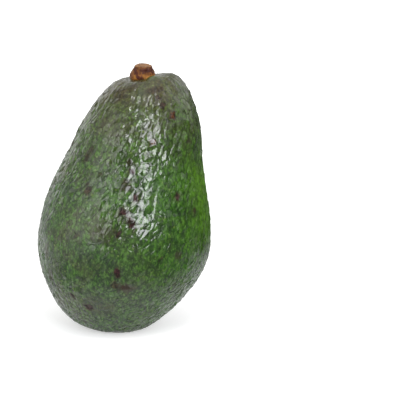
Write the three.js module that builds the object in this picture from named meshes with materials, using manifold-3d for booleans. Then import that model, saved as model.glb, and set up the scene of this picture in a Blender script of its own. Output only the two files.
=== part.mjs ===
// A whole avocado of the pebbly-skinned kind, standing on the small flat spot
// at its blossom end, with the dry woody button of its stalk still in the dimple
// at the neck. Millimetres, +Z up. The origin is on the resting surface, below
// the middle of the fruit.
//
// Two pieces: the fruit, which grew as one closed body, and the stem button.
import * as THREE from 'three';
import { mergeVertices } from 'three/addons/utils/BufferGeometryUtils.js';
import Module from 'manifold-3d';

// ---------- driving dimensions ----------
const LENGTH = 98.3;            // blossom end to neck, along the fruit's own axis
const LEAN_DEG = 6.7;           // the axis leans this far towards +X
const FLAT_DEPTH = 0.85;        // how deep the resting flat is below the round end
// [height along the axis, radius] from the blossom end to the neck
const STATIONS = [
  [0, 0], [0.5, 7.7], [1.7, 13.3], [5.15, 18.3], [12.0, 24.15], [22.0, 29.67],
  [33.0, 32.5], [45.0, 31.81], [57.0, 28.73], [69.0, 24.96], [79.0, 22.53],
  [87.9, 18.92], [94.0, 14.85], [97.25, 11.1], [98.15, 6.0], [LENGTH, 0],
];
const SWAY = [-1.68, -0.115, -0.31, -0.085]; // sideways bend of the axis, mm per cosine term
const NECK_SHEAR = [0.157, 0.078];  // the neck end is cut oblique: rises towards +X
const CROWN_SHIFT = -0.5;          // the crown sits a little to -X of the axis
const LUMPS = [                     // [share of radius, lobes, turn, twist]
  [0.006, 2, 0.9, 2.2],
  [0.004, 3, 2.1, -3.1],
  [0.003, 5, 0.4, 5.0],
];
const AROUND = 56;              // facets round the fruit
const ALONG = 42;               // facets along the fruit

const STEM_X = 0.3;             // stem centre on the neck, in the fruit's own frame
const STEM_Y = -1.5;
const DIMPLE_DEPTH = 0.5;       // dip of the neck under the stem button
const DIMPLE_RADIUS = 6.2;
const STEM_LEAN_DEG = [4.0, 5.0]; // the button's own lean towards +X and towards -Y
const STEM_GAP = 0.3;           // clearance between the button and its seat
// button outline, [radius, height above the skin]
const BUTTON = [
  [0, -1.2], [3.5, -1.2], [4.3, -0.85], [4.75, -0.1], [4.85, 0.6], [4.65, 1.5],
  [4.3, 2.4], [3.9, 3.2], [3.4, 4.0], [2.95, 4.7], [2.6, 5.2], [2.2, 5.4],
  [0, 5.3],
];

// ---------- helpers ----------
const smooth = (x, a, b) => {
  const t = Math.min(1, Math.max(0, (x - a) / (b - a)));
  return t * t * (3 - 2 * t);
};

// Catmull-Rom through the stations; mirrored end points keep both ends round.
function station(t) {
  const n = STATIONS.length - 1;
  const at = (i) => (i < 0 ? [STATIONS[1][0], -STATIONS[1][1]]
    : i > n ? [STATIONS[n - 1][0], -STATIONS[n - 1][1]] : STATIONS[i]);
  const x = t * n, i = Math.min(n - 1, Math.floor(x)), w = x - i;
  const [p0, p1, p2, p3] = [at(i - 1), at(i), at(i + 1), at(i + 2)];
  return [0, 1].map((k) => {
    const v0 = (p2[k] - p0[k]) / 2, v1 = (p3[k] - p1[k]) / 2;
    return (2 * p1[k] - 2 * p2[k] + v0 + v1) * w ** 3
      + (-3 * p1[k] + 3 * p2[k] - 2 * v0 - v1) * w ** 2 + v0 * w + p1[k];
  });
}

// A point of the skin from the plain revolved one (x, y across, h along).
function skin(x, y, h, out) {
  const f = h / LENGTH;
  const phi = Math.atan2(y, x);
  let k = 1;
  const body = smooth(f, 0.0, 0.12) * (1 - smooth(f, 0.9, 1.0));
  for (const [share, lobes, turn, twist] of LUMPS) {
    k += body * share * Math.sin(lobes * phi + turn + twist * f);
  }
  x *= k; y *= k;
  let z = h + x * (NECK_SHEAR[0] * smooth(f, 0.5, 1.0) + NECK_SHEAR[1] * smooth(f, 0.74, 1.0));
  SWAY.forEach((s, j) => { x += s * Math.cos((j + 1) * Math.PI * f); });
  x += CROWN_SHIFT * smooth(f, 0.74, 1.0);
  if (f > 0.8) {
    const d2 = (x - STEM_X) ** 2 + (y - STEM_Y) ** 2;
    z -= DIMPLE_DEPTH * Math.exp(-d2 / (0.5 * DIMPLE_RADIUS ** 2));
  }
  const a = THREE.MathUtils.degToRad(LEAN_DEG);
  return out.set(x * Math.cos(a) + z * Math.sin(a), y, -x * Math.sin(a) + z * Math.cos(a));
}

// A closed three.js geometry as a solid for cutting, and back.
const wasm = await Module();
wasm.setup();

function weld(geometry) {
  const g = geometry.clone();
  g.deleteAttribute('normal');
  g.deleteAttribute('uv');
  return mergeVertices(g, 1e-4);
}

function toSolid(geometry) {
  const g = weld(geometry);
  const ix = g.index.array, tri = [];
  for (let i = 0; i < ix.length; i += 3) {
    if (ix[i] !== ix[i + 1] && ix[i + 1] !== ix[i + 2] && ix[i] !== ix[i + 2]) {
      tri.push(ix[i], ix[i + 1], ix[i + 2]);
    }
  }
  return new wasm.Manifold(new wasm.Mesh({
    numProp: 3,
    vertProperties: new Float32Array(g.attributes.position.array),
    triVerts: new Uint32Array(tri),
  }));
}

function toGeometry(solid) {
  const m = solid.getMesh();
  const g = new THREE.BufferGeometry();
  g.setAttribute('position', new THREE.BufferAttribute(new Float32Array(m.vertProperties), 3));
  g.setIndex(new THREE.BufferAttribute(new Uint32Array(m.triVerts), 1));
  g.computeVertexNormals();
  return g;
}

// Lathe with its axis along +Z.
function lathe(points, segments) {
  const g = new THREE.LatheGeometry(points.map(([r, h]) => new THREE.Vector2(r, h)), segments);
  g.rotateX(Math.PI / 2);
  return g;
}

// ---------- fruit ----------
const outline = [];
for (let i = 0; i <= ALONG; i++) {
  const [h, r] = station(i / ALONG);
  outline.push([i === 0 || i === ALONG ? 0 : Math.max(r, 0), h]);
}
const bodyGeometry = lathe(outline, AROUND);
const p = bodyGeometry.attributes.position;
const v = new THREE.Vector3();
for (let i = 0; i < p.count; i++) {
  skin(p.getX(i), p.getY(i), p.getZ(i), v);
  p.setXYZ(i, v.x, v.y, v.z);
}

// Stand it on its flat: centre it over the origin and sink the round end.
bodyGeometry.computeBoundingBox();
const box = bodyGeometry.boundingBox;
const SHIFT = new THREE.Vector3(
  -(box.min.x + box.max.x) / 2, -(box.min.y + box.max.y) / 2, -box.min.z - FLAT_DEPTH);
bodyGeometry.translate(SHIFT.x, SHIFT.y, SHIFT.z);

// Where the stem stands: the dip in the neck, and the seat's own turn.
const seat = new THREE.Vector3();
{
  const a = THREE.MathUtils.degToRad(LEAN_DEG);
  const x0 = STEM_X;
  const top = LENGTH + (x0 - SWAY.reduce((s, c, j) => s + c * Math.cos((j + 1) * Math.PI), 0) - CROWN_SHIFT)
    * (NECK_SHEAR[0] + NECK_SHEAR[1]) - DIMPLE_DEPTH;
  seat.set(x0 * Math.cos(a) + top * Math.sin(a), STEM_Y, -x0 * Math.sin(a) + top * Math.cos(a)).add(SHIFT);
}
const stemGeometry = lathe(BUTTON, 40);
const socketGeometry = lathe([
  [0, -1.2 - STEM_GAP], [3.6, -1.2 - STEM_GAP], [4.55, -1.1], [5.05, -0.2],
  [5.15, 0.6], [5.15, 4.0], [0, 4.0],
], 40);
const turn = new THREE.Matrix4().makeRotationFromEuler(new THREE.Euler(
  THREE.MathUtils.degToRad(STEM_LEAN_DEG[1]), THREE.MathUtils.degToRad(STEM_LEAN_DEG[0]), 0));
const place = new THREE.Matrix4().makeTranslation(seat.x, seat.y, seat.z).multiply(turn);
socketGeometry.applyMatrix4(place);

const below = new THREE.BoxGeometry(120, 120, 20);
below.translate(0, 0, -10);

const fruitSolid = toSolid(bodyGeometry)
  .subtract(toSolid(below))
  .subtract(toSolid(socketGeometry));

const fruit = new THREE.Mesh(toGeometry(fruitSolid), new THREE.MeshStandardMaterial({
  color: 0x3f5a2c, roughness: 0.36, metalness: 0,
}));
fruit.name = 'fruit';

const stem = new THREE.Mesh(toGeometry(toSolid(stemGeometry)), new THREE.MeshStandardMaterial({
  color: 0x8a4a20, roughness: 0.55, metalness: 0,
}));
stem.name = 'stem_button';
stem.applyMatrix4(place);

const avocado = new THREE.Group();
avocado.name = 'avocado';
avocado.add(fruit, stem);

export default avocado;
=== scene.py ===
import math

import bpy
import numpy as np
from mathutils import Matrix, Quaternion, Vector, noise
from mathutils.kdtree import KDTree

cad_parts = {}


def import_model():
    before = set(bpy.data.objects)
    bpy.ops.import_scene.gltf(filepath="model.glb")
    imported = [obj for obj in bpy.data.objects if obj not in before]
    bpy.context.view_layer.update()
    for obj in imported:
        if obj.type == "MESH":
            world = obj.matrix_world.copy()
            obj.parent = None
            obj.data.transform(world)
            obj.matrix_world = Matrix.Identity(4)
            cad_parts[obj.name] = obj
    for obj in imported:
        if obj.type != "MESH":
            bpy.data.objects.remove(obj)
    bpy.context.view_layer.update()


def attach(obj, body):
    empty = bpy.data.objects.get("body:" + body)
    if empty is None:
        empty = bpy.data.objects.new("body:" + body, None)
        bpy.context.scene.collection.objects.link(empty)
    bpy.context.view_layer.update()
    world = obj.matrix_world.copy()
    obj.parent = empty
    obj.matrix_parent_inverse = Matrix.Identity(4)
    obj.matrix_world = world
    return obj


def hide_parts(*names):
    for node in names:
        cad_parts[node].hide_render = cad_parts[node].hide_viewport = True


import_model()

# =====================================================================
# 1. The fruit's own shape, in millimetres: the same outline as the solid
# =====================================================================
LENGTH = 98.3
LEAN = math.radians(6.7)
FLAT_DEPTH = 0.85
STATIONS = np.array([
    [0, 0], [0.5, 7.7], [1.7, 13.3], [5.15, 18.3], [12.0, 24.15], [22.0, 29.67],
    [33.0, 32.5], [45.0, 31.81], [57.0, 28.73], [69.0, 24.96], [79.0, 22.53],
    [87.9, 18.92], [94.0, 14.85], [97.25, 11.1], [98.15, 6.0], [LENGTH, 0]])
SWAY = [-1.68, -0.115, -0.31, -0.085]
NECK_SHEAR = (0.157, 0.078)
CROWN_SHIFT = -0.5
LUMPS = [(0.006, 2, 0.9, 2.2), (0.004, 3, 2.1, -3.1), (0.003, 5, 0.4, 5.0)]
STEM_X, STEM_Y = 0.3, -1.5
DIMPLE_DEPTH, DIMPLE_RADIUS = 0.5, 6.2
STEM_LEAN = (math.radians(4.0), math.radians(5.0))

rng = np.random.default_rng(20417)


def smooth(x, a, b):
    t = np.clip((x - a) / (b - a), 0, 1)
    return t * t * (3 - 2 * t)


def station(s):
    """Catmull-Rom through the stations; s runs 0 to 1 from the blossom end."""
    P = np.vstack([STATIONS[1] * [1, -1], STATIONS, STATIONS[-2] * [1, -1]])
    n = len(STATIONS) - 1
    x = np.clip(s, 0, 1) * n
    i = np.minimum(n - 1, np.floor(x)).astype(int)
    w = (x - i)[:, None]
    p0, p1, p2, p3 = P[i], P[i + 1], P[i + 2], P[i + 3]
    v0, v1 = (p2 - p0) / 2, (p3 - p1) / 2
    q = (2 * p1 - 2 * p2 + v0 + v1) * w ** 3 + (-3 * p1 + 3 * p2 - 2 * v0 - v1) * w ** 2 + v0 * w + p1
    q[:, 1] = np.maximum(q[:, 1], 0)
    return q


def own_frame(s, phi):
    """Points of the plain skin in the fruit's own upright frame."""
    q = station(s)
    h, r = q[:, 0], q[:, 1]
    f = h / LENGTH
    k = np.ones_like(h)
    body = smooth(f, 0, .12) * (1 - smooth(f, .9, 1))
    for share, lobes, turn, twist in LUMPS:
        k += body * share * np.sin(lobes * phi + turn + twist * f)
    x, y = r * k * np.cos(phi), r * k * np.sin(phi)
    z = h + x * (NECK_SHEAR[0] * smooth(f, .5, 1) + NECK_SHEAR[1] * smooth(f, .74, 1))
    for j, c in enumerate(SWAY):
        x = x + c * np.cos((j + 1) * math.pi * f)
    x = x + CROWN_SHIFT * smooth(f, .74, 1)
    d2 = (x - STEM_X) ** 2 + (y - STEM_Y) ** 2
    z = z - np.where(f > .8, DIMPLE_DEPTH * np.exp(-d2 / (.5 * DIMPLE_RADIUS ** 2)), 0)
    return np.stack([x, y, z], 1), h


def lean(p):
    x, y, z = p.T
    c, s = math.cos(LEAN), math.sin(LEAN)
    return np.stack([x * c + z * s, y, -x * s + z * c], 1)


# where the fruit stands, from its plain skin
_s, _p = np.meshgrid(np.linspace(0, 1, 43), np.linspace(0, 2 * math.pi, 56, endpoint=False), indexing="ij")
_b = lean(own_frame(_s.ravel(), _p.ravel())[0])
SHIFT = np.array([-(_b[:, 0].min() + _b[:, 0].max()) / 2,
                  -(_b[:, 1].min() + _b[:, 1].max()) / 2,
                  -_b[:, 2].min() - FLAT_DEPTH])


def geodesic(n):
    """Unit icosphere of frequency n: points and triangles."""
    g = (1 + 5 ** .5) / 2
    V = np.array([[-1, g, 0], [1, g, 0], [-1, -g, 0], [1, -g, 0], [0, -1, g], [0, 1, g],
                  [0, -1, -g], [0, 1, -g], [g, 0, -1], [g, 0, 1], [-g, 0, -1], [-g, 0, 1]], float)
    V /= np.linalg.norm(V[0])
    F = [[0, 11, 5], [0, 5, 1], [0, 1, 7], [0, 7, 10], [0, 10, 11], [1, 5, 9], [5, 11, 4], [11, 10, 2],
         [10, 7, 6], [7, 1, 8], [3, 9, 4], [3, 4, 2], [3, 2, 6], [3, 6, 8], [3, 8, 9], [4, 9, 5],
         [2, 4, 11], [6, 2, 10], [8, 6, 7], [9, 8, 1]]
    ij = [(i, j) for i in range(n + 1) for j in range(n + 1 - i)]
    at = {c: k for k, c in enumerate(ij)}
    I = np.array([c[0] for c in ij]); J = np.array([c[1] for c in ij])
    tri = []
    for i in range(n):
        for j in range(n - i):
            tri.append((at[i, j], at[i + 1, j], at[i, j + 1]))
            if j < n - i - 1:
                tri.append((at[i + 1, j], at[i + 1, j + 1], at[i, j + 1]))
    tri = np.array(tri)
    pts, faces, m = [], [], len(ij)
    for k, (a, b, c) in enumerate(F):
        # equal steps along the arcs keep the triangles alike
        A, B, C = V[a], V[b], V[c]
        wa, wb, wc = (n - I - J) / n, I / n, J / n
        th = math.acos(float(A @ B))
        p = (np.sin(wa * th)[:, None] * A + np.sin(wb * th)[:, None] * B + np.sin(wc * th)[:, None] * C)
        pts.append(p / np.linalg.norm(p, axis=1, keepdims=True))
        faces.append(tri + k * m)
    pts, faces = np.vstack(pts), np.vstack(faces)
    _, first, inv = np.unique(np.round(pts * 2e4).astype(np.int64), axis=0, return_index=True, return_inverse=True)
    inv = inv.reshape(-1)
    pts = pts[first]
    faces = inv[faces]
    a, b, c = pts[faces[:, 0]], pts[faces[:, 1]], pts[faces[:, 2]]
    flip = np.einsum("ij,ij->i", np.cross(b - a, c - a), a + b + c) < 0
    faces[flip] = faces[flip][:, ::-1]
    return pts, faces


def vertex_normals(p, t):
    fn = np.cross(p[t[:, 1]] - p[t[:, 0]], p[t[:, 2]] - p[t[:, 0]])
    n = np.zeros_like(p)
    for k in range(3):
        np.add.at(n, t[:, k], fn)
    return n / np.maximum(np.linalg.norm(n, axis=1, keepdims=True), 1e-12)


def noise3(p, size, seed, octaves=1):
    """Smooth noise, about -1 to 1, over points in millimetres; size is the wavelength."""
    off = Vector((seed * 17.31, seed * -9.17, seed * 5.03))
    out = np.empty(len(p))
    q = p / size
    if octaves == 1:
        for i, v in enumerate(q):
            out[i] = noise.noise(Vector(v) + off)
    else:
        for i, v in enumerate(q):
            out[i] = noise.fractal(Vector(v) + off, 1.0, 2.0, octaves)
    return out


# =====================================================================
# 2. Fruit skin: a closed mesh laid out pebble by pebble, in relief
# =====================================================================
# a dense helper mesh, only to find which pebble owns each spot
dense, dtris = geodesic(140)

# equal areas: the share of the sphere below a direction is the share of the skin below it
ss = np.linspace(0, 1, 4001)
prof = station(ss)
dl = np.hypot(*np.diff(prof, axis=0).T)
area = np.concatenate([[0], np.cumsum((prof[1:, 1] + prof[:-1, 1]) / 2 * dl)])
area /= area[-1]


def on_skin(u):
    """Points of the plain skin, in the fruit's own frame, for unit directions u."""
    s = np.interp(np.clip((1 + u[:, 2]) / 2, 0, 1), area, ss)
    return own_frame(s, np.arctan2(u[:, 1], u[:, 0]))


def unit(v):
    return v / np.maximum(np.linalg.norm(v, axis=-1, keepdims=True), 1e-12)


# --- a stretched, twisted and warped copy of the skin, in which pebbles are round
STRETCH_LOW, STRETCH_HIGH = 1.16, 1.62
hh = np.linspace(-3, LENGTH + 6, 400)
k_h = STRETCH_LOW + (STRETCH_HIGH - STRETCH_LOW) * smooth(hh / LENGTH, .22, .62)
g_h = np.concatenate([[0], np.cumsum(np.diff(hh) / ((k_h[1:] + k_h[:-1]) / 2))])


TWIST = .011
TILT_BASE, TILT_LOW, TILT_HIGH = .105, .074, .145
GROOVE_DEPTH = .17


def pebble_space(p):
    w = np.stack([noise3(p, 13.0, 1), noise3(p, 13.0, 2), noise3(p, 16.0, 3)], 1) * 1.8
    p = p + w
    a = TWIST * (p[:, 2] - 45)
    x = p[:, 0] * np.cos(a) + p[:, 1] * np.sin(a)
    y = -p[:, 0] * np.sin(a) + p[:, 1] * np.cos(a)
    return np.stack([x, y, np.interp(p[:, 2], hh, g_h)], 1)


SPACING_LOW, SPACING_HIGH = 1.58, 2.02                  # mm between pebbles, across
own_d, height_d = on_skin(dense)
Q = pebble_space(own_d)


def tree_of(points):
    t = KDTree(len(points))
    for i, v in enumerate(points):
        t.insert(v, i)
    t.balance()
    return t


def spread(Q, tris, h, seed, relax):
    """Seeds over the skin, closer together low down, relaxed a little."""
    r = np.random.default_rng(seed)
    A = .5 * np.linalg.norm(np.cross(Q[tris[:, 1]] - Q[tris[:, 0]], Q[tris[:, 2]] - Q[tris[:, 0]]), axis=1)
    gap = SPACING_LOW + (SPACING_HIGH - SPACING_LOW) * smooth(h[tris[:, 0]] / LENGTH, .22, .62)
    want = A / (gap ** 2 * .866)
    n = int(want.sum())
    pick = r.choice(len(tris), n, p=want / want.sum())
    u = r.random((n, 2)); u = np.where(u.sum(1, keepdims=True) > 1, 1 - u, u)
    a, b, c = (Q[tris[pick, k]] for k in range(3))
    S = a + (b - a) * u[:, :1] + (c - a) * u[:, 1:]
    va = np.zeros(len(Q))
    for k in range(3):
        np.add.at(va, tris[:, k], want / 3)
    some = np.arange(0, len(Q), 2)
    for amount in relax:
        t = tree_of(S)
        near = np.array([t.find(v)[1] for v in Q[some]])
        w = np.bincount(near, va[some], minlength=n)
        cen = np.stack([np.bincount(near, va[some] * Q[some, k], minlength=n) for k in range(3)], 1)
        ok = w > 0
        S[ok] += (cen[ok] / w[ok, None] - S[ok]) * amount
    return S


def pair_random(i, j, salt):
    a, b = np.minimum(i, j).astype(np.uint64), np.maximum(i, j).astype(np.uint64)
    h = (a * np.uint64(2654435761) + b * np.uint64(40503) + np.uint64(salt)) & np.uint64(0xFFFFFFFF)
    h ^= h >> np.uint64(15); h = (h * np.uint64(2246822519)) & np.uint64(0xFFFFFFFF); h ^= h >> np.uint64(13)
    return (h & np.uint64(0xFFFF)).astype(float) / 65535.0


def outline_pebbles(S, weight, alive, idx, dist):
    """Which seeds meet at each corner, and where; round each seed, its neighbours in order."""
    t = KDTree(int(alive.sum()))
    for i in np.nonzero(alive)[0]:
        t.insert(S[i], int(i))
    t.balance()
    for i in np.nonzero(~alive[idx].all(1))[0]:          # only where a nearby seed has gone
        for k, (_, j, d) in enumerate(t.find_n(Q[i], 4)):
            idx[i, k] = j; dist[i, k] = d
    dd = dist - weight[idx]
    order = np.argsort(dd, axis=1)
    near = np.take_along_axis(idx, order, 1)
    lab = near[:, 0].copy()
    e = np.vstack([dtris[:, [0, 1]], dtris[:, [1, 2]], dtris[:, [2, 0]]])
    for k in (1, 2):                                     # a lone vertex goes to the next seed
        same = lab[e[:, 0]] == lab[e[:, 1]]
        cnt = np.bincount(e[same].ravel(), minlength=len(Q))
        lone = cnt == 0
        lab[lone] = near[lone, k]
    L = lab[dtris]
    three = (L[:, 0] != L[:, 1]) & (L[:, 1] != L[:, 2]) & (L[:, 2] != L[:, 0])
    T, C = L[three], dtris[three]
    # corner: where the three (distance - weight) are equal, by linear interpolation
    D = np.stack([np.stack([np.linalg.norm(Q[C[:, v]] - S[T[:, s]], axis=1) - weight[T[:, s]] for v in range(3)], 1)
                  for s in range(3)], 1)                 # [corner, seed, vertex]
    M = np.stack([D[:, 0] - D[:, 1], D[:, 0] - D[:, 2], np.ones((len(T), 3))], 1)
    rhs = np.tile(np.array([0, 0, 1.0]), (len(T), 1))[:, :, None]
    det = np.linalg.det(M)
    M[np.abs(det) < 1e-9] = np.eye(3)
    bary = np.linalg.solve(M, rhs)[:, :, 0]
    bad = (np.abs(det) < 1e-9) | (bary.min(1) < -.6)
    bary[bad] = 1 / 3
    u = unit(np.einsum("cv,cvk->ck", bary, dense[C]))
    nxt = [dict() for _ in range(len(S))]
    twice = set()
    for k, (a, b, c) in enumerate(T):
        for i, j, l in ((a, b, c), (b, c, a), (c, a, b)):
            if j in nxt[i]:
                twice.add(int(i))
            nxt[i][j] = (l, k)
    around, wrong = [None] * len(S), set(twice)
    for i, m in enumerate(nxt):
        if not alive[i]:
            continue
        if len(m) < 3:
            wrong.add(i); continue
        j0 = min(m); j = j0; ring_ = []
        while True:
            if j not in m or len(ring_) > len(m):
                wrong.add(i); break
            l, k = m[j]
            ring_.append((int(j), int(k)))               # corner k lies between neighbours j and l
            j = l
            if j == j0:
                break
        if len(ring_) != len(m):
            wrong.add(i)
        around[i] = ring_
    return T, u, around, wrong


seeds = spread(Q, dtris, height_d, 77, (.6, .45))
weight = rng.uniform(0, .40, len(seeds))                 # big and small pebbles
alive = np.ones(len(seeds) + 1, bool); alive[-1] = False
seeds = np.vstack([seeds, [[0, 0, 999.0]]]); weight = np.append(weight, 0)
idx = np.full((len(Q), 4), len(seeds) - 1); dist = np.zeros((len(Q), 4))
for _ in range(12):
    corners, corner_u, around, wrong = outline_pebbles(seeds, weight, alive, idx, dist)
    if not wrong:
        break
    alive[sorted(wrong)[::2]] = False
renumber = np.cumsum(alive) - 1
corners = renumber[corners]
around = [[(int(renumber[j]), k) for j, k in around[i]] for i in np.nonzero(alive)[0]]
seeds, weight = seeds[alive], weight[alive]
ns = len(seeds)
print("pebbles", ns, "unsound", len(wrong))

# --- vertices: corners and mid-sides (in the grooves), then each pebble's shoulder, waist and middle
U = [corner_u]                                           # blocks of unit directions
base = len(corner_u)
corner_q = pebble_space(on_skin(corner_u)[0])
ends = {}
for i, ring_ in enumerate(around):
    n = len(ring_)
    for a in range(n):
        j, k = ring_[a]
        nb, k2 = ring_[(a + 1) % n]                      # the side shared with nb runs from corner k to corner k2
        if i < nb:
            ends[(i, nb)] = (k, k2)
pairs = [p for p, (k, k2) in ends.items() if np.linalg.norm(corner_q[k] - corner_q[k2]) > .55]
pi = np.array(pairs)
pk = np.array([ends[p] for p in pairs])
mid = unit(corner_u[pk[:, 0]] + corner_u[pk[:, 1]])
seed_tree = tree_of(Q[::3])
seed_u = dense[::3][[seed_tree.find(v)[1] for v in seeds]]
for _ in range(2):                                       # onto the line where both pebbles are equally near
    q = pebble_space(on_skin(mid)[0])
    da = np.linalg.norm(q - seeds[pi[:, 0]], axis=1) - weight[pi[:, 0]]
    db = np.linalg.norm(q - seeds[pi[:, 1]], axis=1) - weight[pi[:, 1]]
    gap = np.linalg.norm(seeds[pi[:, 0]] - seeds[pi[:, 1]], axis=1)
    step_ = np.clip(-(da - db) / (2 * gap), -.12, .12)
    mid = unit(mid + step_[:, None] * (seed_u[pi[:, 1]] - seed_u[pi[:, 0]]))
mid_of = {p: base + n for n, p in enumerate(pairs)}
U.append(mid); base += len(mid)

rings, centres = [], []
for i, ring_ in enumerate(around):
    n = len(ring_); r0 = []
    for a in range(n):
        k = ring_[a][1]; nb = ring_[(a + 1) % n][0]
        r0.append(k)
        m_ = mid_of.get((min(i, nb), max(i, nb)))
        if m_ is not None:
            r0.append(m_)
    rings.append(np.array(r0))
R0 = np.concatenate(rings)
owner = np.repeat(np.arange(ns), [len(r) for r in rings])
count = np.array([len(r) for r in rings])
Ug = np.vstack(U)
q_g = pebble_space(on_skin(Ug)[0])
cen_u = unit(np.stack([np.bincount(owner, Ug[R0, k], minlength=ns) for k in range(3)], 1) / count[:, None])
cen_q = pebble_space(on_skin(cen_u)[0])
rad_v = np.linalg.norm(q_g[R0] - cen_q[owner], axis=1)
mean_r = np.bincount(owner, rad_v, minlength=ns) / count
GROOVE_HALF = .27                                        # mm from the groove's bottom to the shoulder
want_r = rad_v + (mean_r[owner] - rad_v) * .38           # shoulders are rounder than the outline
want_r = np.minimum(want_r, rad_v) - GROOVE_HALF * (.85 + .5 * pair_random(R0, owner, 9))
want_r = np.maximum(want_r, rad_v * .38)
frac1 = 1 - want_r / rad_v
shoulder = unit(Ug[R0] + (cen_u[owner] - Ug[R0]) * frac1[:, None])
big = mean_r > 1.17                                      # larger pebbles get a ring at the waist
frac2 = 1 - (1 - frac1) * .52
sel = big[owner]
waist = unit(Ug[R0[sel]] + (cen_u[owner[sel]] - Ug[R0[sel]]) * frac2[sel, None])
b1 = len(Ug); b2 = b1 + len(shoulder); b3 = b2 + len(waist)
ALL = np.vstack([Ug, shoulder, waist, cen_u])
start = np.concatenate([[0], np.cumsum(count)])
wstart = np.concatenate([[0], np.cumsum(np.where(big, count, 0))])
walls, tops = [], []
for i in range(ns):
    m = count[i]; a = np.arange(m); b = (a + 1) % m
    g0 = rings[i]; s0 = b1 + start[i]
    walls.append(np.stack([g0[a], g0[b], s0 + b], 1)); walls.append(np.stack([g0[a], s0 + b, s0 + a], 1))
    if big[i]:
        w0 = b2 + wstart[i]
        tops.append(np.stack([s0 + a, s0 + b, w0 + b], 1)); tops.append(np.stack([s0 + a, w0 + b, w0 + a], 1))
        tops.append(np.stack([w0 + a, w0 + b, np.full(m, b3 + i)], 1))
    else:
        tops.append(np.stack([s0 + a, s0 + b, np.full(m, b3 + i)], 1))
walls, tops = np.vstack(walls), np.vstack(tops)
tris = np.vstack([walls, tops])
cell = np.concatenate([np.full(b1, -1), owner, owner[sel], np.arange(ns)])
kind_of = np.concatenate([np.zeros(b1), np.ones(len(shoulder)), np.full(len(waist), 2), np.full(ns, 3)])
own, height = on_skin(ALL)
f_of = height / LENGTH
QA = np.vstack([q_g, pebble_space(own[b1:])])
if np.einsum("ij,ij->i", np.cross(own[tris[:, 1]] - own[tris[:, 0]], own[tris[:, 2]] - own[tris[:, 0]]),
             own[tris[:, 0]] - [0, 0, 45]).sum() < 0:
    walls, tops, tris = walls[:, ::-1], tops[:, ::-1], tris[:, ::-1]
normal_own = vertex_normals(own, tris)

# --- each pebble's top is a tilted, slightly domed plate
tilt_of = TILT_LOW + (TILT_HIGH - TILT_LOW) * smooth(f_of[b3:], .40, .62) \
    + (TILT_BASE - TILT_LOW) * smooth(f_of[b3:], .34, .20)
tilt = rng.normal(0, 1, (ns, 3)) * (tilt_of * np.where(rng.random(ns) < .14, 1.9, .9))[:, None]   # a few lean a lot
az_of = np.arctan2(normal_own[b3:, 0], -normal_own[b3:, 1])
ledge = (rng.random(ns) < .14) & (az_of > .42) & (az_of < 1.15) & (f_of[b3:] > .30) & (f_of[b3:] < .86)
lean_by = np.clip(np.tan(np.clip(az_of - .42, 0, 1)), 0, .34)[:, None]
tilt = np.where(ledge[:, None], np.stack([np.cos(az_of), np.sin(az_of), 0 * az_of], 1) * lean_by, tilt)
step = rng.normal(0, .030, ns)
crown_h = rng.uniform(.0, .05, ns) * np.clip(mean_r / .95, .6, 1.15)
rand_a, rand_b = rng.random(ns), rng.random(ns)
relief_size = .80 + .25 * smooth(f_of, .35, .75) - .20 * smooth(f_of, .93, 1.0) + .35 * smooth(f_of, .34, .12)
own_cell = np.where(cell >= 0, cell, 0)
plate = step[own_cell] + np.clip(np.einsum("ij,ij->i", QA - cen_q[own_cell], tilt[own_cell]), -.24, .24)
dome_share = np.choose(kind_of.astype(int), [0, 0, .65, 1.0])
relief = plate + crown_h[own_cell] * dome_share
# the grooves: mean of the plates that meet there, less the groove's own depth
acc = np.zeros(b1); num = np.zeros(b1); deep_acc = np.zeros(b1); a_acc = np.zeros(b1); b_acc = np.zeros(b1)
pl = step[owner] + np.clip(np.einsum("ij,ij->i", q_g[R0] - cen_q[owner], tilt[owner]), -.24, .24)
np.add.at(acc, R0, pl); np.add.at(num, R0, 1); np.add.at(a_acc, R0, rand_a[owner]); np.add.at(b_acc, R0, rand_b[owner])
depth_mid = .06 + .94 * pair_random(pi[:, 0], pi[:, 1], 5) ** 1.6
depth_corner = np.mean([.06 + .94 * pair_random(corners[:, a], corners[:, b], 5) ** 1.6 for a, b in ((0, 1), (1, 2), (2, 0))], 0)
groove_depth = np.concatenate([.35 + .65 * depth_corner, depth_mid])
relief[:b1] = acc / num - groove_depth * GROOVE_DEPTH * relief_size[:b1]
cell_a = np.where(cell >= 0, rand_a[own_cell], 0); cell_a[:b1] = a_acc / num
cell_b = np.where(cell >= 0, rand_b[own_cell], 0); cell_b[:b1] = b_acc / num
groove = np.zeros(len(ALL)); groove[:b1] = groove_depth

swell = .34 * noise3(own, 15.0, 11) + .11 * noise3(own, 6.5, 12)
ripple = .040 * noise3(own, 3.2, 13) + .010 * noise3(own, 1.1, 15)
wide = .45 * noise3(own, 31.0, 14) * smooth(f_of, .03, .2)

# near the stem the skin is drawn in: fine creases run towards it
stem_d = np.hypot(own[:, 0] - STEM_X, own[:, 1] - STEM_Y)
stem_a = np.arctan2(own[:, 1] - STEM_Y, own[:, 0] - STEM_X)
crown = (f_of > .8)
near_stem = np.where(crown, smooth(stem_d + 4.5 * noise3(own, 8.0, 21), 26, 9), 0)
# the skin is drawn in towards the stem: pebbles fade out and fine furrows run down from it
fade = np.where(crown, smooth(stem_d, 16.5, 8.0), 0)
furrow = np.sin(stem_a * 31 + 2.3 * np.sin(stem_a * 5 + .7) + 1.2 * np.sin(stem_a * 11)) \
    + .6 * np.sin(stem_a * 13 + 1.7 * np.sin(stem_a * 3 + .6) + .15 * stem_d)
run = np.where(crown, smooth(stem_d, 4.5, 8) * smooth(stem_d, 24, 13), 0)
relief = relief * (1 - .52 * fade) - .075 * run * furrow
groove = groove * (1 - .6 * fade)

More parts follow.
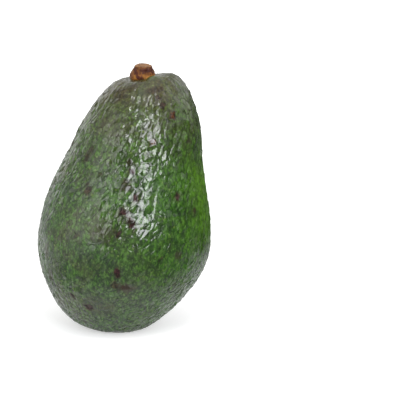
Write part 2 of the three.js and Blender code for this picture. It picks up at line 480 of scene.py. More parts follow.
# the stem sits low against a raised shoulder, behind a small lip of skin
dx, dy = own[:, 0] - STEM_X, own[:, 1] - STEM_Y
shoulder_mm = .70 * np.exp(-((dx - 8.8) ** 2 / (2 * 3.4 ** 2) + (dy - .5) ** 2 / (2 * 5.5 ** 2))) \
    - .55 * np.exp(-((dx - 5.6) ** 2 / (2 * 1.7 ** 2) + dy ** 2 / (2 * 4.0 ** 2)))
lip = np.where(crown, np.exp(-((dx - 4.2) ** 2 + (dy + 5.1) ** 2) / (2 * 1.6 ** 2)), 0)

height_mm = relief + ripple + swell + wide + np.where(crown, shoulder_mm, 0) + 1.05 * lip
height_mm -= .06
fade_low = smooth(f_of, 0.0, .05)
height_mm = height_mm * (.60 + .40 * fade_low)

skin = lean(own + normal_own * height_mm[:, None]) + SHIFT

# the small flat it rests on: pressed level, with a rounded edge
k = .16
skin[:, 2] = np.where(skin[:, 2] < 4 * k, k * np.log1p(np.exp(np.clip(skin[:, 2] / k, -40, 40))), skin[:, 2])
skin[:, 2] = np.maximum(skin[:, 2] - .012, 0)


def make_mesh(name, points_mm, faces, attrs, normals=None):
    me = bpy.data.meshes.new(name)
    me.from_pydata((points_mm * .001).tolist(), [], faces.tolist())
    me.update()
    for key, val in attrs.items():
        a = me.attributes.new(key, "FLOAT", "POINT")
        a.data.foreach_set("value", np.ascontiguousarray(val, dtype=np.float32))
    me.polygons.foreach_set("use_smooth", np.ones(len(me.polygons), bool))
    if normals is not None:
        me.normals_split_custom_set_from_vertices(normals.tolist())
    ob = bpy.data.objects.new(name, me)
    bpy.context.scene.collection.objects.link(ob)
    return ob


# shading: a pebble's plate runs flat to its shoulder, and turns down only at the groove
n_top, n_wall = vertex_normals(skin, tops), vertex_normals(skin, walls)
skin_normals = np.where((kind_of == 0)[:, None], n_wall, n_top)
sh = kind_of == 1
skin_normals[sh] = unit(.92 * n_top[sh] + .08 * n_wall[sh])


# --- marks on the skin: [x, y, z, half width, half height] in mm, kind, strength
MARKS = [
    (-.3, -11.9, 91.8, 3.0, 2.3, "purple", .22), (4.0, -12.2, 93.9, 2.0, 1.5, "purple", .22),
    (11.8, -13.9, 93.4, 2.7, 1.0, "purple", .4), (13.8, -15.3, 91.0, .8, 2.3, "purple", .7),
    (15.3, -16.6, 88.3, .8, 2.0, "purple", .7), (11.2, -20.1, 82.8, .6, 1.9, "purple", .7),
    (18.8, -16.4, 84.9, 1.3, 1.2, "russet", .9), (12.2, -22.2, 75.5, 1.2, 1.0, "russet", .85),
    (3.7, -24.7, 68.2, 1.3, 1.1, "purple", .6), (3.8, -25.6, 65.4, 1.2, 1.4, "purple", .95),
    (1.6, -27.3, 60.2, 2.1, 2.4, "purple", .55), (6.1, -28.3, 55.9, 1.3, 1.5, "purple", 1.0),
    (2.1, -30.1, 51.1, 1.8, 1.2, "purple", 1.0), (3.8, -30.6, 48.6, 1.3, 1.5, "purple", .9),
    (4.9, -31.0, 46.2, 1.1, 1.6, "purple", 1.0), (-.4, -31.7, 43.8, 1.3, 1.3, "purple", .9),
    (-1.1, -31.9, 29.6, .9, 2.1, "purple", 1.0), (1.9, -29.9, 23.0, 2.8, 1.6, "brown", .7), (1.4, -30.1, 23.5, 1.3, .9, "purple", .8),
    (-2.1, -30.5, 24.1, 1.1, 1.5, "purple", .6), (-12.9, -16.9, 69.2, 1.3, 1.5, "purple", .6),
    (-11.9, -23.7, 58.6, 1.5, 1.7, "purple", .7), (-18.5, -22.7, 18.0, 1.2, 1.1, "purple", .9),
    (-12.4, -23.4, 13.6, 1.6, 1.5, "purple", .9), (20.5, -22.0, 55.2, .9, 1.8, "purple", .95),
    (25.3, -13.2, 74.6, 1.1, 1.1, "brown", .6), (27.0, -16.4, 49.0, .8, 1.0, "brown", .9),
    (21.1, -24.3, 33.6, 1.5, 1.1, "brown", .5), (-28.2, -17.2, 34.2, 1.6, 2.4, "brown", .45),
    (-27.0, -16.9, 24.4, 1.6, 2.3, "brown", .45), (-23.6, -15.3, 14.4, 2.2, 2.0, "brown", .4),
    (-7.0, -30.9, 43.0, 3.6, 2.9, "brown", .25), (-2.9, -20.9, 76.4, 2.9, 2.4, "brown", .25),
    (-8.5, -25.0, 15.0, 5.5, 3.8, "drab", .75), (-10.5, -29.0, 31.0, 4.0, 3.2, "drab", .5),
    (-22.5, -20.0, 30.0, 3.5, 5.0, "drab", .45),
    (22.0, -17.0, 20.0, 3.2, 3.4, "drab", .3), (-11.0, -25.0, 63.0, 3.2, 4.0, "drab", .4),
    # the side that faces away carries marks of the same kinds
    (-6.0, 24.5, 64.0, 1.6, 2.2, "purple", .9), (14.0, 27.0, 40.0, 1.3, 1.6, "brown", .9),
    (-17.0, 25.5, 33.0, 2.4, 1.5, "purple", .7), (3.0, 31.5, 28.0, 1.1, 1.9, "purple", .9),
    (22.0, 14.5, 70.0, 1.2, 1.6, "russet", .9), (-25.0, 10.0, 46.0, 1.5, 1.6, "purple", .8),
    (9.0, 17.0, 88.0, 2.6, 1.9, "purple", .7), (29.5, 5.0, 24.0, 1.4, 1.4, "brown", .8),
    (-9.0, 28.0, 22.0, 5.0, 4.0, "drab", .7), (19.0, 24.0, 52.0, 4.5, 4.5, "drab", .5), (-27.0, -2.0, 36.0, 4.0, 5.0, "drab", .5),
    (-20.0, 16.0, 16.0, 1.6, 1.3, "purple", .8), (-4.0, 15.0, 84.0, 1.0, 1.4, "russet", .8),
]
mark_noise = noise3(skin, 3.0, 31) * .50 + noise3(skin, 1.3, 32) * .35
centre_pos = skin[b3 + own_cell]
centre_pos = np.where((cell >= 0)[:, None], centre_pos, skin)
mix_pos = skin * .5 + centre_pos * .5                    # marks follow the pebbles' edges
marks = {k: np.zeros(len(skin)) for k in ("purple", "russet", "brown", "halo")}
for x, y, z, a, b, kind, strength in MARKS:
    d = mix_pos - [x, y, z]
    r = np.sqrt((d[:, 0] ** 2 + d[:, 1] ** 2) / (a * 1.25) ** 2 + d[:, 2] ** 2 / (b * 1.4) ** 2)
    if kind == "drab":
        marks["halo"] = np.maximum(marks["halo"], strength * (1 - smooth(r + .7 * mark_noise, .5, 1.3)))
        continue
    m = strength ** .6 * (1 - smooth(r + mark_noise, .66, 1.06))
    marks[kind] = np.maximum(marks[kind], m)
    marks["halo"] = np.maximum(marks["halo"], .5 * strength * (1 - smooth(r + mark_noise, .7, 2.0)))
# faint freckling of single pebbles all over
lone_mark = (rng.random(ns) < .035)[own_cell] & (cell >= 0)
freckle = lone_mark * smooth(noise3(skin, 11.0, 33), .0, .4) * .55
marks["purple"] = np.maximum(marks["purple"], freckle)

fruit_mesh = make_mesh("fruit_skin", skin, tris, {
    "cell_a": cell_a, "cell_b": cell_b, "groove": groove,
    "purple": marks["purple"], "russet": marks["russet"], "brown": marks["brown"], "halo": marks["halo"],
    "lip": lip, "near_stem": near_stem, "ray_x": np.cos(stem_a), "ray_y": np.sin(stem_a), "ray_d": stem_d,
}, skin_normals)

# =====================================================================
# 3. Materials
# =====================================================================


class Nodes:
    def __init__(self, name):
        self.mat = bpy.data.materials.new(name)
        self.mat.use_nodes = True
        self.t = self.mat.node_tree
        self.t.nodes.clear()
        self.out = self.t.nodes.new("ShaderNodeOutputMaterial")
        self.bsdf = self.t.nodes.new("ShaderNodeBsdfPrincipled")
        self.t.links.new(self.bsdf.outputs[0], self.out.inputs[0])
        self.coord = self.t.nodes.new("ShaderNodeTexCoord")

    def link(self, a, b):
        self.t.links.new(a, b)

    def _in(self, sock, v):
        if isinstance(v, bpy.types.NodeSocket):
            self.link(v, sock)
        elif isinstance(v, (tuple, list)) and len(v) == 3 and sock.type == "RGBA":
            sock.default_value = (*v, 1)
        else:
            sock.default_value = v

    def attr(self, name):
        n = self.t.nodes.new("ShaderNodeAttribute")
        n.attribute_name = name
        return n.outputs["Fac"]

    def scaled(self, scale):
        n = self.t.nodes.new("ShaderNodeMapping")
        self.link(self.coord.outputs["Object"], n.inputs["Vector"])
        n.inputs["Scale"].default_value = scale
        return n.outputs["Vector"]

    def noise(self, scale, detail=2.0, rough=.5, vector=None, distort=0.0):
        n = self.t.nodes.new("ShaderNodeTexNoise")
        self.link(vector or self.coord.outputs["Object"], n.inputs["Vector"])
        n.inputs["Scale"].default_value = scale
        n.inputs["Detail"].default_value = detail
        n.inputs["Roughness"].default_value = rough
        n.inputs["Distortion"].default_value = distort
        return n.outputs["Fac"]

    def voronoi(self, scale, feature="F1", vector=None, randomness=1.0):
        n = self.t.nodes.new("ShaderNodeTexVoronoi")
        n.feature = feature
        self.link(vector or self.coord.outputs["Object"], n.inputs["Vector"])
        n.inputs["Scale"].default_value = scale
        n.inputs["Randomness"].default_value = randomness
        return n

    def ramp(self, v, a, b, lo=0.0, hi=1.0):
        n = self.t.nodes.new("ShaderNodeMapRange")
        n.interpolation_type = "SMOOTHSTEP"
        self._in(n.inputs["Value"], v)
        n.inputs["From Min"].default_value = a
        n.inputs["From Max"].default_value = b
        n.inputs["To Min"].default_value = lo
        n.inputs["To Max"].default_value = hi
        return n.outputs["Result"]

    def math(self, op, a, b=0.0, clamp=False):
        n = self.t.nodes.new("ShaderNodeMath")
        n.operation = op
        n.use_clamp = clamp
        self._in(n.inputs[0], a)
        self._in(n.inputs[1], b)
        return n.outputs[0]

    def mix(self, fac, a, b, blend="MIX"):
        n = self.t.nodes.new("ShaderNodeMix")
        n.data_type = "RGBA"
        n.blend_type = blend
        n.clamp_factor = True
        self._in(n.inputs["Factor"], fac)
        self._in(n.inputs["A"], a)
        self._in(n.inputs["B"], b)
        return n.outputs["Result"]

    def bump(self, h, strength, distance, normal=None):
        n = self.t.nodes.new("ShaderNodeBump")
        n.inputs["Strength"].default_value = strength
        n.inputs["Distance"].default_value = distance
        self.link(h, n.inputs["Height"])
        if normal is not None:
            self.link(normal, n.inputs["Normal"])
        return n.outputs["Normal"]


def skin_material():
    m = Nodes("avocado_skin")
    groove = m.attr("groove")
    ca, cb = m.attr("cell_a"), m.attr("cell_b")
    streaky = m.scaled((1.0, 1.0, .62))
    big = m.noise(38, 3, .55)                       # patches of 20 to 30 mm
    mid = m.noise(150, 3, .6, streaky)              # 5 to 8 mm
    fine = m.noise(600, 4, .72, streaky)            # 1 to 2 mm mottling
    speck = m.noise(1300, 2, .6, streaky)           # and finer
    sep = m.t.nodes.new("ShaderNodeSeparateXYZ")
    m.link(m.coord.outputs["Object"], sep.inputs[0])
    # one cheek is a cleaner green, yellower at its middle: partly its own ripening, partly painted light for the side
    # toward the lamps
    upto = m.ramp(sep.outputs["Z"], .096, .052)
    cheek = m.math("MULTIPLY", m.ramp(sep.outputs["X"], .004, .021), upto)
    cheek = m.math("MULTIPLY", cheek, m.ramp(big, .25, .6, .55, 1.0))
    ripe_and_lit_edge = m.math("MULTIPLY", m.ramp(sep.outputs["X"], .020, .032), upto)
    ripe_and_lit_edge = m.math("MULTIPLY", ripe_and_lit_edge, m.ramp(sep.outputs["Z"], .024, .050))
    ripe_and_lit_edge = m.math("MULTIPLY", ripe_and_lit_edge, m.ramp(big, .32, .58, .55, 1.0))

    near_stem_ = m.attr("near_stem")
    ray = m.t.nodes.new("ShaderNodeCombineXYZ")
    for k_, (a_, f_) in enumerate((("ray_x", 6.5), ("ray_y", 6.5), ("ray_d", .09))):
        m.link(m.math("MULTIPLY", m.attr(a_), f_), ray.inputs[k_])
    streaks = m.noise(1.0, 3, .6, ray.outputs[0])    # lines running down from the stem

    # streaks running round the lower fruit; below they are painted reflection as well as bumps on the coat
    ray2 = m.t.nodes.new("ShaderNodeCombineXYZ")
    m.link(m.math("MULTIPLY", m.attr("ray_x"), 19.0), ray2.inputs[0])
    m.link(m.math("MULTIPLY", m.attr("ray_y"), 19.0), ray2.inputs[1])
    m.link(m.math("MULTIPLY", sep.outputs["Z"], 330.0), ray2.inputs[2])
    meridian_bumps_and_sheen = m.noise(1.0, 3, .6, ray2.outputs[0])

    deep = (.009, .029, .003)
    green = (.021, .068, .005)
    # the next two greens are partly painted light: brighter greens for the side toward the lamps
    fresh_and_lit_green = (.028, .098, .005)
    sunny_and_lit_green = (.098, .238, .004)
    olive = (.042, .058, .009)
    drab = (.038, .035, .012)
    col = m.mix(m.ramp(mid, .34, .66), deep, green)
    col = m.mix(m.math("MULTIPLY", m.ramp(big, .45, .7), .34), col, olive)
    # painted light, in part: the side toward the lamps is brighter and yellower
    col = m.mix(m.math("MULTIPLY", cheek, m.ramp(mid, .35, .6, .45, .9)), col, fresh_and_lit_green)
    col = m.mix(m.math("MULTIPLY", ripe_and_lit_edge, m.ramp(mid, .30, .6, .45, .85)), col, sunny_and_lit_green)
    col = m.mix(m.math("MULTIPLY", m.math("MAXIMUM", cheek, ripe_and_lit_edge), m.ramp(fine, .54, .66, 0, .55)), col, sunny_and_lit_green)
    neck = m.ramp(sep.outputs["Z"], .056, .082, 0, .68)
    col = m.mix(m.math("MULTIPLY", neck, m.ramp(mid, .30, .60, .6, 1.0)), col, (.040, .046, .011))
    area = m.noise(78, 3, .6)
    col = m.mix(m.ramp(area, .48, .36, 0, .50), col, deep)
    col = m.mix(m.ramp(area, .53, .66, 0, .30), col, (.036, .104, .010))
    # drab patches, more of them on the shaded cheek and low down
    drabness = m.ramp(m.noise(88, 4, .6), .46, .62)
    where = m.ramp(sep.outputs["X"], .012, -.026, .12, .70)
    col = m.mix(m.math("MULTIPLY", drabness, where), col, drab)
    # each pebble has its own tone
    col = m.mix(m.math("MULTIPLY", m.ramp(ca, .55, 1.0), .26), col, olive)
    col = m.mix(m.math("MULTIPLY", m.ramp(cb, .6, 1.0), .40), col, deep)
    # mottling
    col = m.mix(m.ramp(fine, .51, .62, 0, .55), col, (.052, .140, .012))
    col = m.mix(m.ramp(speck, .54, .66, 0, .50), col, (.082, .176, .030))
    busy = m.ramp(mid, .40, .62, .55, 1.0)               # some patches are plainer
    col = m.mix(m.math("MULTIPLY", busy, m.ramp(fine, .50, .38, 0, .66)), col, (.003, .009, .002))
    col = m.mix(m.math("MULTIPLY", busy, m.ramp(speck, .47, .36, 0, .52)), col, (.003, .008, .003))
    low = m.ramp(sep.outputs["Z"], .034, .016)
    col = m.mix(m.math("MULTIPLY", low, m.ramp(fine, .49, .40, 0, .55)), col, (.005, .011, .004))
    col = m.mix(m.math("MULTIPLY", low, m.ramp(speck, .52, .64, 0, .25)), col, (.075, .135, .035))
    # painted reflection, in part: light grey-green and dark streaks low down, most on the right, stand in for streaks
    # of reflection along the rim; the same streaks also bump the coat
    low2 = m.math("MULTIPLY", m.ramp(sep.outputs["Z"], .046, .022), m.ramp(sep.outputs["X"], .002, .024, .65, 1.0))
    col = m.mix(m.math("MULTIPLY", low2, m.ramp(meridian_bumps_and_sheen, .50, .40, 0, .38)), col, (.006, .018, .004))
    col = m.mix(m.math("MULTIPLY", low2, m.ramp(meridian_bumps_and_sheen, .53, .64, 0, .38)), col, (.100, .150, .065))
    # round the stem the skin is duller, brown-green and streaked
    crown_ = m.mix(m.ramp(streaks, .40, .60), (.055, .038, .013), (.044, .044, .010))
    crown_ = m.mix(m.ramp(fine, .42, .58), m.mix(.5, crown_, (.012, .014, .005)), crown_)
    col = m.mix(m.math("MULTIPLY", near_stem_, .85), col, crown_)
    col = m.mix(m.math("MULTIPLY", near_stem_, m.ramp(streaks, .40, .28, 0, .6)), col, (.010, .007, .004))
    col = m.mix(m.math("MULTIPLY", near_stem_, m.ramp(speck, .54, .66, 0, .40)), col, (.090, .096, .030))
    col = m.mix(m.math("MULTIPLY", near_stem_, m.ramp(speck, .46, .36, 0, .40)), col, (.012, .010, .005))
    col = m.mix(m.math("MULTIPLY", m.attr("lip"), .8), col, (.050, .085, .014))
    # painted shade: the grooves are darkened in colour; they also hold less wax
    col = m.mix(m.math("MULTIPLY", groove, .58), col, (.004, .012, .002))
    # lenticels: small pale dots
    vor = m.voronoi(430)
    size = m.ramp(m.noise(300, 1), .35, .7, .05, .22)
    dot = m.math("SUBTRACT", size, vor.outputs["Distance"])
    dot = m.ramp(dot, -.03, .05)
    col = m.mix(m.math("MULTIPLY", dot, .42), col, (.12, .17, .035))
    # marks
    col = m.mix(m.math("MULTIPLY", m.attr("halo"), m.ramp(fine, .38, .60)), col, (.030, .026, .012))
    stain = m.mix(m.ramp(speck, .44, .60), (.008, .0020, .0025), (.036, .010, .013))
    col = m.mix(m.math("MULTIPLY", m.attr("purple"), .92), col, stain)
    col = m.mix(m.math("MULTIPLY", m.attr("brown"), .9), col, (.024, .016, .008))
    col = m.mix(m.math("MULTIPLY", m.attr("russet"), .9), col, m.mix(m.ramp(speck, .42, .60), (.018, .006, .004), (.085, .023, .010)))
    m.link(col, m.bsdf.inputs["Base Color"])

    rough = m.ramp(m.noise(900, 3, .6), .3, .7, .38, .52)
    rough = m.math("ADD", rough, m.math("MULTIPLY", groove, .16))
    rough = m.math("ADD", rough, m.math("MULTIPLY", m.attr("russet"), .2), clamp=True)
    m.link(rough, m.bsdf.inputs["Roughness"])
    m.bsdf.inputs["IOR"].default_value = 1.46
    m.bsdf.inputs["Specular IOR Level"].default_value = .07
    wax = m.ramp(groove, .25, .90, .95, .30)         # the wax sits on the pebbles
    wax = m.math("MULTIPLY", wax, m.math("SUBTRACT", 1.0, m.math("MULTIPLY", m.attr("purple"), .6)))
    rubbed = m.math("MULTIPLY", m.ramp(sep.outputs["X"], .0255, .0305), m.ramp(sep.outputs["Z"], .026, .038))
    rubbed = m.math("MULTIPLY", rubbed, m.ramp(sep.outputs["Z"], .070, .058, 0, .85))
    wax = m.math("MULTIPLY", wax, m.math("SUBTRACT", 1.0, rubbed))   # duller where it lay against its neighbour
    m.link(wax, m.bsdf.inputs["Coat Weight"])
    m.bsdf.inputs["Coat Roughness"].default_value = .17
    m.bsdf.inputs["Coat IOR"].default_value = 1.5

    small = m.voronoi(760, "SMOOTH_F1", streaky)
    grain = m.math("MULTIPLY", small.outputs["Distance"], -1.0)
    n1 = m.bump(grain, .8, .00030)
    n2 = m.bump(m.noise(1500, 4, .6, streaky), .60, .00016, n1)
    m.link(n2, m.bsdf.inputs["Normal"])
    c1_ = m.bump(grain, .45, .00030)
    c2_ = m.bump(m.noise(1700, 3, .55, streaky), .40, .00012, c1_)
    c3_ = m.bump(m.math("MULTIPLY", streaks, near_stem_), .8, .00045, c2_)
    c4_ = m.bump(m.math("MULTIPLY", meridian_bumps_and_sheen, low2), .7, .00050, c3_)
    m.link(c4_, m.bsdf.inputs["Coat Normal"])
    return m.mat


SKIN = skin_material()
fruit_mesh.data.materials.append(SKIN)
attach(fruit_mesh, "root")
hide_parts("fruit")

# =====================================================================
# 4. Stem button
# =====================================================================
t_top = LENGTH + (STEM_X - sum(c * math.cos((j + 1) * math.pi) for j, c in enumerate(SWAY)) - CROWN_SHIFT) \
    * (NECK_SHEAR[0] + NECK_SHEAR[1]) - DIMPLE_DEPTH
SEAT = lean(np.array([[STEM_X, STEM_Y, t_top]]))[0] + SHIFT

N_AROUND, N_UP = 180, 120
BUTTON = np.array([[3.6, -1.15], [4.35, -.75], [4.8, -.1], [4.9, .6], [4.78, 1.4], [4.42, 2.3],
                   [3.98, 3.2], [3.5, 4.05], [3.1, 4.75], [2.92, 5.2], [2.75, 5.42], [2.0, 5.45], [1.0, 5.42], [0, 5.42]])


def stem_points():
    n = len(BUTTON) - 1
    u = np.linspace(0, 1, N_UP) * n
    i = np.minimum(n - 1, np.floor(u)).astype(int); w = (u - i)[:, None]
    P = np.vstack([2 * BUTTON[0] - BUTTON[1], BUTTON, BUTTON[-2] * [-1, 1]])
    p0, p1, p2, p3 = P[i], P[i + 1], P[i + 2], P[i + 3]
    v0, v1 = (p2 - p0) / 2, (p3 - p1) / 2
    q = (2 * p1 - 2 * p2 + v0 + v1) * w ** 3 + (-3 * p1 + 3 * p2 - 2 * v0 - v1) * w ** 2 + v0 * w + p1
    return q


ring = stem_points()
phi = np.linspace(0, 2 * math.pi, N_AROUND, endpoint=False)
R, PH = np.meshgrid(ring[:-1, 0], phi, indexing="ij")
H, _ = np.meshgrid(ring[:-1, 1], phi, indexing="ij")
x = (R * np.cos(PH)).ravel(); y = (R * np.sin(PH)).ravel(); z = H.ravel()
pts = np.stack([x, y, z], 1)
rad = np.stack([np.cos(PH).ravel(), np.sin(PH).ravel(), np.zeros(len(x))], 1)
hfrac = np.clip((z + .2) / 5.6, 0, 1)
side = smooth(hfrac, 0.0, .15) * (1 - smooth(hfrac, .93, 1.0))
lump = noise3(pts, 3.1, 41) * .34 + noise3(pts, 1.4, 42) * .18 + noise3(pts * [1, 1, .4], .55, 43) * .07
flute = .10 * np.sin(PH.ravel() * 7 + 1.1 * np.sin(PH.ravel() * 2 + 1)) * smooth(hfrac, .2, .6)
pts += rad * ((lump + flute) * (.25 + .75 * side))[:, None]
# a shrunken waist runs round below the broken end
waist_h = .70 + .05 * np.sin(PH.ravel() * 2 + .4) + .04 * noise3(pts, 2.0, 44)
crack = np.exp(-((hfrac - waist_h) / .06) ** 2)
pts -= rad * (crack * .20)[:, None]
# the broken end is nearly flat, tipped a little, with a sharp rim
torn = noise3(pts * [1, 1, .2], 1.6, 49) * .12 + noise3(pts * [1, 1, .2], .9, 45) * .10 + noise3(pts * [1, 1, .2], .42, 46) * .07
plane = 5.02 + .03 * pts[:, 1] + .045 * pts[:, 0] + torn
endness = smooth(pts[:, 2] - plane, -.25, .02)
pts[:, 2] = np.minimum(pts[:, 2], plane)
# where the wood is stained: a band round it below the end, and one that runs down on one side
turn = (PH.ravel() + math.pi) % (2 * math.pi) - math.pi
run_h = .74 - (turn + 2.75) / 1.15 * .62
stain_ = np.exp(-((hfrac - run_h) / .17) ** 2) * smooth(turn, -3.0, -2.6) * smooth(turn, -1.25, -1.5)
ring_h = .72 + .07 * np.sin(2 * turn + .9) + .05 * noise3(pts, 1.7, 48)
stain_ = np.maximum(stain_, np.exp(-((hfrac - ring_h) / .15) ** 2) * (.55 + .45 * np.sin(turn * 1.0 + 2.1)))
stain_ = np.clip(stain_ * (1 + .9 * noise3(pts, 1.6, 47)), 0, 1)
pts = np.vstack([pts, [[0, 0, float(pts[-N_AROUND:, 2].mean())]], [[0, 0, -1.15]]])
faces = []
rows = N_UP - 1
for i in range(rows - 1):
    a = i * N_AROUND + np.arange(N_AROUND); b = i * N_AROUND + (np.arange(N_AROUND) + 1) % N_AROUND
    faces.append(np.stack([a, b, b + N_AROUND], 1)); faces.append(np.stack([a, b + N_AROUND, a + N_AROUND], 1))
a = (rows - 1) * N_AROUND + np.arange(N_AROUND); b = (rows - 1) * N_AROUND + (np.arange(N_AROUND) + 1) % N_AROUND
faces.append(np.stack([a, b, np.full(N_AROUND, len(pts) - 2)], 1))
a = np.arange(N_AROUND); b = (np.arange(N_AROUND) + 1) % N_AROUND
faces.append(np.stack([b, a, np.full(N_AROUND, len(pts) - 1)], 1))
faces = np.vstack(faces)
cx, sx = math.cos(STEM_LEAN[1]), math.sin(STEM_LEAN[1])
cy, sy = math.cos(STEM_LEAN[0]), math.sin(STEM_LEAN[0])
RX = np.array([[1, 0, 0], [0, cx, -sx], [0, sx, cx]])
RY = np.array([[cy, 0, sy], [0, 1, 0], [-sy, 0, cy]])
stem_world = pts @ (RX @ RY).T + SEAT
hf = np.append(hfrac, [1, 0]); en = np.append(endness, [1, 0]); ck = np.append(crack, [0, 0]); st_ = np.append(stain_, [0, 0])
stem_mesh = make_mesh("stem_button_wood", stem_world, faces, {"up": hf, "cut": en, "crack": ck, "stain": st_})


def stem_material():
    m = Nodes("stem_wood")
    up, cut, crack_ = m.attr("up"), m.attr("cut"), m.attr("crack")
    fib = m.scaled((1.0, 1.0, .35))
    big = m.noise(420, 4, .65)
    patch = m.noise(640, 3, .6, m.scaled((1.0, 1.0, .6)))
    fine = m.noise(1500, 4, .65, fib)
    gold = (.255, .115, .020)
    amber = (.165, .056, .012)
    brown = (.072, .024, .008)
    maroon = (.042, .0085, .006)
    tan = (.265, .140, .058)
    col = m.mix(m.ramp(big, .38, .62), gold, amber)
    col = m.mix(m.ramp(up, .36, .66, 0, .66), col, brown)
    col = m.mix(m.ramp(patch, .52, .40, 0, .80), col, brown)
    st_ = m.math("ADD", m.attr("stain"), m.math("MULTIPLY", m.ramp(patch, .46, .58, -.35, .25), m.ramp(up, .05, .4)))
    col = m.mix(m.ramp(st_, .18, .62, 0, .92), col, maroon)
    # painted shade: darker colour in the shrunken waist below the end
    col = m.mix(m.math("MULTIPLY", crack_, .35), col, (.020, .006, .005))
    col = m.mix(cut, col, m.mix(m.ramp(patch, .36, .62), (.120, .050, .022), tan))
    col = m.mix(m.ramp(fine, .5, .32, 0, .50), col, (.028, .012, .006))
    col = m.mix(m.ramp(fine, .56, .74, 0, .25), col, (.24, .12, .035))
    m.link(col, m.bsdf.inputs["Base Color"])
    m.link(m.ramp(fine, .3, .7, .38, .62), m.bsdf.inputs["Roughness"])
    m.bsdf.inputs["IOR"].default_value = 1.45
    m.bsdf.inputs["Specular IOR Level"].default_value = .16
    n1 = m.bump(fine, .6, .00018)
    n2 = m.bump(m.noise(3200, 3, .6, fib), .5, .00006, n1)
    m.link(n2, m.bsdf.inputs["Normal"])
    return m.mat


stem_mesh.data.materials.append(stem_material())
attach(stem_mesh, "root")
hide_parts("stem_button")

# =====================================================================
# 5. Floor, light, camera
# =====================================================================
sc = bpy.context.scene
sc.view_settings.view_transform = "Standard"
sc.view_settings.look = "None"
sc.view_settings.exposure = 0.0
sc.view_settings.gamma = 1.0


def floor():
    me = bpy.data.meshes.new("floor")
    s = 6.0
    me.from_pydata([(-s, -s, 0), (s, -s, 0), (s, s, 0), (-s, s, 0)], [], [(0, 1, 2, 3)])
    ob = bpy.data.objects.new("floor", me)
    sc.collection.objects.link(ob)
    m = Nodes("floor_paper")
    seen = m.t.nodes.new("ShaderNodeLightPath").outputs["Is Camera Ray"]
    sep = m.t.nodes.new("ShaderNodeSeparateXYZ")
    m.link(m.coord.outputs["Object"], sep.inputs[0])
    shade = m.ramp(sep.outputs["X"], .0, .07)           # painted shade: out of the camera's sight the floor is dark on the right, and in a band behind, so the fruit reflects shade there
    shade = m.math("MULTIPLY", shade, m.ramp(sep.outputs["Y"], .02, -.05))
    shade = m.math("MAXIMUM", shade, m.ramp(sep.outputs["X"], .09, .18))
    behind = m.math("MULTIPLY", m.ramp(sep.outputs["Y"], .14, .18), m.ramp(sep.outputs["Y"], .34, .26))
    shade = m.math("MAXIMUM", shade, m.math("MULTIPLY", behind, m.ramp(sep.outputs["X"], -.01, .03)))
    dist = m.t.nodes.new("ShaderNodeVectorMath")
    dist.operation = "LENGTH"
    m.link(m.coord.outputs["Object"], dist.inputs[0])
    # painted light and shade, out of the camera's sight: near white close to the fruit, greyer further out, darkest in
    # front
    near = m.ramp(dist.outputs["Value"], .030, .070)
    around = m.mix(m.ramp(sep.outputs["X"], .0, .04), (.50, .50, .50), (.68, .68, .68))
    around = m.mix(m.ramp(sep.outputs["Y"], -.02, .02), (.38, .38, .38), around)
    hidden = m.mix(shade, m.mix(near, (.95, .95, .95), around), (.15, .15, .15))
    m.link(m.mix(seen, hidden, (.62, .62, .618)), m.bsdf.inputs["Base Color"])
    m.bsdf.inputs["Roughness"].default_value = .9
    m.bsdf.inputs["Specular IOR Level"].default_value = .1
    m.bsdf.inputs["Emission Color"].default_value = (1, 1, 1, 1)
    # painted light: out of the camera's sight a patch of floor on the left glows, and the fruit reflects it on its
    # left side
    glowing_patch_left = m.math("MULTIPLY", m.ramp(sep.outputs["X"], -.06, -.13), m.ramp(sep.outputs["Y"], .25, .12, 0, .46))
    glowing_patch_left = m.math("MULTIPLY", glowing_patch_left, m.math("SUBTRACT", 1.0, seen))
    # painted light: the floor glows for the camera only, more with distance, so it reads white while a soft shadow
    # stays near the fruit
    lit = m.ramp(dist.outputs["Value"], .15, .60, .46, 1.0)
    m.link(m.math("ADD", glowing_patch_left, m.math("MULTIPLY", seen, lit)), m.bsdf.inputs["Emission Strength"])
    me.materials.append(m.mat)
    return ob


floor()


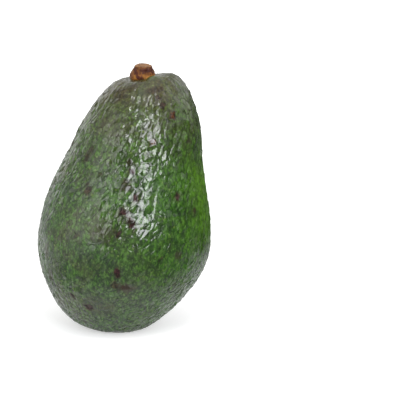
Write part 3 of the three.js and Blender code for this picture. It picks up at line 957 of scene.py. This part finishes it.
def world():
    w = bpy.data.worlds.new("studio")
    sc.world = w
    w.use_nodes = True
    t = w.node_tree
    t.nodes.clear()
    out = t.nodes.new("ShaderNodeOutputWorld")
    coord = t.nodes.new("ShaderNodeTexCoord")
    sep = t.nodes.new("ShaderNodeSeparateXYZ")
    t.links.new(coord.outputs["Generated"], sep.inputs[0])

    def maprange(v, a, b, lo, hi):
        n = t.nodes.new("ShaderNodeMapRange")
        n.interpolation_type = "SMOOTHSTEP"
        t.links.new(v, n.inputs["Value"])
        for k_, x_ in zip(("From Min", "From Max", "To Min", "To Max"), (a, b, lo, hi)):
            n.inputs[k_].default_value = x_
        return n.outputs["Result"]

    def mth(op, a, b):
        n = t.nodes.new("ShaderNodeMath")
        n.operation = op
        for s_, v_ in zip(n.inputs, (a, b)):
            if isinstance(v_, bpy.types.NodeSocket):
                t.links.new(v_, s_)
            else:
                s_.default_value = v_
        return n.outputs[0]

    # the sweep behind is white; the room on the near side is darker, more so to the right
    back = maprange(sep.outputs["Y"], .26, .52, 0.0, 1.0)
    back = mth("MULTIPLY", back, maprange(sep.outputs["X"], .45, -.10, .17, 1.0))
    left = mth("MULTIPLY", maprange(sep.outputs["X"], -.25, -.5, 0.0, .55), maprange(sep.outputs["Z"], -.05, .15, 0.0, 1.0))
    back = mth("MULTIPLY", back, mth("ADD", left, .85))
    up_ = maprange(sep.outputs["Z"], .50, .85, 0.0, .65)
    right = mth("MULTIPLY", maprange(sep.outputs["X"], .20, .45, 0.0, 1.3), maprange(sep.outputs["Z"], .09, .28, 0.0, 1.0))
    right = mth("MULTIPLY", right, maprange(sep.outputs["Y"], .1, .3, 0.0, 1.0))
    side_ = mth("MULTIPLY", maprange(sep.outputs["X"], -.70, -.92, 0.0, .75), maprange(sep.outputs["Z"], -.10, .05, 0.0, 1.0))
    level = mth("MAXIMUM", mth("MAXIMUM", back, up_), mth("MAXIMUM", right, side_))
    level = mth("ADD", level, .05)
    lp = t.nodes.new("ShaderNodeLightPath")
    level = mth("MAXIMUM", level, lp.outputs["Is Camera Ray"])
    bg = t.nodes.new("ShaderNodeBackground")
    bg.inputs["Color"].default_value = (1, 1, 1, 1)
    t.links.new(level, bg.inputs["Strength"])
    t.links.new(bg.outputs[0], out.inputs[0])


world()


def area_light(name, azimuth, elevation, distance, width, height, watts, colour=(1, 1, 1), roll=0, target=(0, 0, .05)):
    """azimuth in degrees to the right of the near side, seen from the fruit."""
    d = bpy.data.lights.new(name, "AREA")
    d.shape = "RECTANGLE"
    d.size, d.size_y = width, height
    d.energy = watts
    d.color = colour
    ob = bpy.data.objects.new(name, d)
    sc.collection.objects.link(ob)
    a, e = math.radians(azimuth), math.radians(elevation)
    dirv = Vector((math.sin(a) * math.cos(e), -math.cos(a) * math.cos(e), math.sin(e)))
    ob.location = Vector(target) + dirv * distance
    q = (-dirv).to_track_quat("-Z", "Y") @ Quaternion((0, 0, 1), math.radians(roll))
    ob.rotation_euler = q.to_euler()
    return ob


area_light("softbox", 20, 17, .95, .42, .31, 6.3, (.95, .95, 1.0))
area_light("softbox_high", 15, 40, .95, .20, .38, 1.75, (.95, .95, 1.0), roll=6)
area_light("crown_spot", 14, 57, 1.1, .11, .11, 2.1, (.97, .97, 1.0))
area_light("fill", -31, 18, 1.2, .20, .72, 2.7)
area_light("glint", -50, 25, 1.2, .09, .26, .55)
area_light("window", -55, 20, 1.3, 1.1, 1.3, 6.2)
area_light("side", 82, 32, 1.2, .9, .9, 3.2)
area_light("spark", 54, 8, 1.2, .09, .45, .50, (.95, .95, 1.0))
area_light("overhead", -15, 80, 1.5, 1.2, 1.2, 4.0)

cam_data = bpy.data.cameras.new("camera")
cam_data.lens = 135
cam_data.sensor_width = 36
cam_data.clip_start = .01
cam = bpy.data.objects.new("camera", cam_data)
sc.collection.objects.link(cam)
cam.location = (.028968, -.558335, .168103)
cam.rotation_euler = (math.radians(78), 0, 0)
sc.camera = cam
